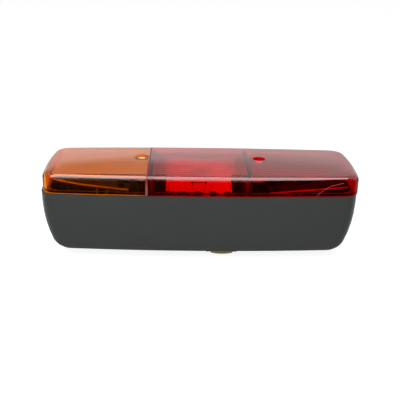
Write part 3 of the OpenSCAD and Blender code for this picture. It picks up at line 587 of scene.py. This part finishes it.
# The weld beads and the top weld line take the flash's painted red glow where they run high
strip_along("weld_bead_front", wall_path(JOINT_X, *BEAD_Z, -1), BEAD_X, BEAD_PROUD, WELD)
strip_along("weld_bead_rear", wall_path(JOINT_X, *BEAD_Z, 1), BEAD_X, BEAD_PROUD, WELD)
strip_along("weld_line_top", over_path(JOINT_X), LINE_X, LINE_PROUD, WELD)

CRACK_WIDTH = 0.25 * MM
CRACK_PROUD = 0.02 * MM
CRACK_DEPTH = 0.05 * MM
CRACK_PLACES = [
    (86.1, 47.7),
    (88.7, 49.9),
    (91, 52),
    (93.3, 53.55),
    (97.1, 55.5),
    (100.9, 56.5),
    (103.5, 57.2),
    (106.2, 57.9),
]


def hairline(name, line, material):
    """A fine crack line that lies on the lens's front wall, through (x, z) places in mm; its bright red is a
    painted glint of the light the crack catches.
    """
    points = [Vector((x * MM, -lens_wall_y(x * MM) - CRACK_PROUD, z * MM)) for x, z in line]
    bm = bmesh.new()
    low = bm.verts.new(points[0])
    high = bm.verts.new(points[0] + Vector((0, 0, CRACK_WIDTH)))
    edge = bm.edges.new((low, high))
    for before, after in zip(points, points[1:]):
        made = bmesh.ops.extrude_edge_only(bm, edges=[edge])["geom"]
        moved = new_verts(made)
        edge = next(item for item in new_edges(made) if set(item.verts) == set(moved))
        bmesh.ops.translate(bm, verts=moved, vec=after - before)
    thicken(bm, (0, CRACK_DEPTH, 0))
    add_piece(name, bm, material)


hairline("hairline_red", CRACK_PLACES, CRACK_GLINT)

# Floor, world and lamps

FLOOR_REACH = 6.0
# The floor's own tone, and what is added to it for bounced light, mirror images and the view through the lens
FLOOR_TONE = 0.3
BOUNCED = 0.65
MIRRORED = -0.28
THROUGH = -0.2
# The floor's glow for the camera, mirrored behind the lamp, and through the lens at the left and right end
CAMERA_GLOW = 0.88
REAR_GLOW = 0.8
LEFT_GLOW = 0.8
RIGHT_GLOW = 0.22
# The world as plain light, through the lens and for the camera
PLAIN_LIGHT = 0.3
THROUGH_LIGHT = 0.5
CAMERA_LIGHT = 1.0


def make_floor():
    """Pale paper: it glows for the camera and through the lens, and is darker where the lamp mirrors it."""
    bm = bmesh.new()
    bmesh.ops.create_grid(bm, x_segments=1, y_segments=1, size=FLOOR_REACH)
    bmesh.ops.translate(bm, verts=bm.verts, vec=(0, 0, cad_low.z))
    mesh = bpy.data.meshes.new("floor")
    bm.to_mesh(mesh)
    bm.free()
    floor = bpy.data.objects.new("floor", mesh)
    bpy.context.scene.collection.objects.link(floor)
    shade = Shade("floor_paper")
    tree = shade.tree

    def sums(parts, start=0.0):
        """The sum of sockets, each times its own factor."""
        total = start
        for socket, factor in parts:
            total = maths(tree, "MULTIPLY_ADD", socket, factor, total)
        return total

    rays = tree.nodes.new("ShaderNodeLightPath").outputs
    through = rays["Is Transmission Ray"]
    not_through = sums([(through, -1.0)], 1.0)
    mirrored = maths(tree, "MULTIPLY", rays["Is Glossy Ray"], not_through, clamp=True)
    tone = sums([(rays["Is Diffuse Ray"], BOUNCED), (mirrored, MIRRORED), (through, THROUGH)], FLOOR_TONE)
    place = shade.place()
    behind = ramp(tree, coordinate(tree, place, "Y"), low=-60 * MM, high=20 * MM)
    rear_floor = maths(tree, "MULTIPLY", mirrored, behind, clamp=True)
    sideways = ramp(
        tree,
        coordinate(tree, place, "X"),
        low=-housing_high.x,
        high=housing_high.x,
        to_low=LEFT_GLOW,
        to_high=RIGHT_GLOW,
    )
    seen_through = maths(tree, "MULTIPLY", through, sideways, clamp=True)
    glow = sums([(rays["Is Camera Ray"], CAMERA_GLOW), (seen_through, 1.0), (rear_floor, REAR_GLOW)])
    shade.set(Base_Color=tone, Roughness=0.9, Specular_IOR_Level=0.1)
    shade.set(Emission_Color=(1, 1, 1, 1), Emission_Strength=glow)
    mesh.materials.append(shade.material)


def make_world():
    """White for the camera, plain grey for the light, and a backdrop behind the lamp where it is mirrored."""
    world = bpy.data.worlds.new("studio")
    bpy.context.scene.world = world
    world.use_nodes = True
    tree = world.node_tree
    rays = tree.nodes.new("ShaderNodeLightPath").outputs

    def level(value):
        """A plain grey."""
        made = tree.nodes.new("ShaderNodeBackground")
        made.inputs["Color"].default_value = (value, value, value, 1)
        return made.outputs[0]

    def choose(flag, no, yes):
        """One light where a ray has the flag, and the other where it hasn't."""
        mix = tree.nodes.new("ShaderNodeMixShader")
        for socket, value in zip(mix.inputs, (rays[flag], no, yes)):
            tree.links.new(value, socket)
        return mix.outputs[0]

    direction = tree.nodes.new("ShaderNodeTexCoord").outputs["Generated"]
    across = coordinate(tree, direction, "X")
    ahead = coordinate(tree, direction, "Y")
    up = coordinate(tree, direction, "Z")
    upper = ramp(tree, across, low=-0.13, high=0.13, to_low=0.45, to_high=1.1, kind="LINEAR")
    backdrop = tree.nodes.new("ShaderNodeBackground")
    grey = ramp(tree, ahead, low=-0.3, high=0.1, to_low=0.05, to_high=0.43)
    strength = ramp(tree, up, low=0.28, high=0.37, to_low=1.3, to_high=upper, kind="LINEAR")
    feed(tree, backdrop.inputs["Color"], grey)
    feed(tree, backdrop.inputs["Strength"], strength)
    lit = choose("Is Glossy Ray", level(PLAIN_LIGHT), backdrop.outputs[0])
    lit = choose("Is Transmission Ray", lit, level(THROUGH_LIGHT))
    lit = choose("Is Camera Ray", lit, level(CAMERA_LIGHT))
    tree.links.new(lit, tree.nodes["World Output"].inputs["Surface"])


def soft_lamp(name, place, aim, width, height, power):
    """A soft rectangular lamp that faces a place."""
    data = bpy.data.lights.new(name, "AREA")
    data.shape = "RECTANGLE"
    data.size = width
    data.size_y = height
    data.energy = power
    lamp = bpy.data.objects.new(name, data)
    bpy.context.scene.collection.objects.link(lamp)
    facing = (Vector(aim) - Vector(place)).to_track_quat("-Z", "Y")
    lamp.matrix_world = Matrix.Translation(Vector(place)) @ facing.to_matrix().to_4x4()


make_floor()
make_world()
soft_lamp("overhead_softbox", place=(-0.12, -0.28, 0.9), aim=(0, 0, 0), width=1.2, height=1.4, power=12.5)
soft_lamp("front_fill", place=(-0.2, -1.0, 0.45), aim=(0, 0, 0.04), width=0.8, height=0.5, power=3.4)

bpy.context.scene.view_settings.view_transform = "Standard"
